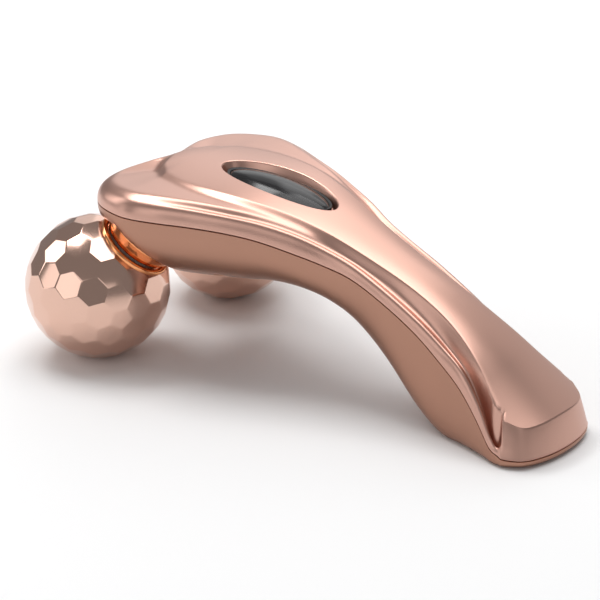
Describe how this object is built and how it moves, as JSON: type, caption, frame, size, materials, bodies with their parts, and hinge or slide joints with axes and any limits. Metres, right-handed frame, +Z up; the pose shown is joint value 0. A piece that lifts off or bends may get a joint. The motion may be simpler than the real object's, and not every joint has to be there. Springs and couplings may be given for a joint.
{
  "type": "roller face massager",
  "caption": "Y-shaped handheld face roller: faceted metal balls spin freely on splayed axles under the lobes of an arched two-part handle with an oval window.",
  "frame": {"origin": "on the ground plane, under the middle of the object's bounding box", "axes": "+X along the length from the balls to the tail, +Y to the left side, +Z up from the surface it stands on"},
  "size_m": [0.1543, 0.0932, 0.0524],
  "materials": {
    "rose_satin": "satin rose gold plated plastic",
    "rose_mirror": "mirror rose gold plating",
    "copper_plate": "polished copper plating",
    "dark_window": "dark polished window",
    "black_rubber": "matte",
    "solar_glass": "glazed cell",
    "green_board": "solder mask",
    "black_plastic": "moulded",
    "steel": "turned",
    "white_plastic": "moulded",
    "bronze_bush": "sintered bronze",
    "spring_steel": "oiled",
    "brass_strip": "bright strip",
    "iron_weight": "plain"
  },
  "bodies": {
    "handle": {"upper_shell": "rose_satin", "lower_shell": "rose_satin", "window_lens": "dark_window", "window_gasket": "black_rubber", "solar_cell": "solar_glass", "circuit_board": "green_board", "axle_bracket": "black_plastic", "axle_left": "steel", "axle_right": "steel", "collar_left": "copper_plate", "collar_right": "copper_plate", "retaining_ring_left": "spring_steel", "retaining_ring_right": "spring_steel", "contact_strip_left": "brass_strip", "contact_strip_right": "brass_strip", "ballast": "iron_weight", "shell_screws": "steel"},
    "left_ball": {"ball_left": "rose_mirror", "ball_lip_left": "copper_plate", "ball_hub_left": "white_plastic", "ball_bushes_left": "bronze_bush"},
    "right_ball": {"ball_right": "rose_mirror", "ball_lip_right": "copper_plate", "ball_hub_right": "white_plastic", "ball_bushes_right": "bronze_bush"}
  },
  "joints": [
    {"name": "ball_left_spin", "type": "hinge", "parent": "handle", "child": "left_ball", "pos_m": [-0.0575, 0.027, 0.01943], "axis": [0.5826, -0.2717, 0.766], "continuous": true},
    {"name": "ball_right_spin", "type": "hinge", "parent": "handle", "child": "right_ball", "pos_m": [-0.0575, -0.027, 0.01943], "axis": [0.5826, 0.2717, 0.766], "continuous": true}
  ]
}
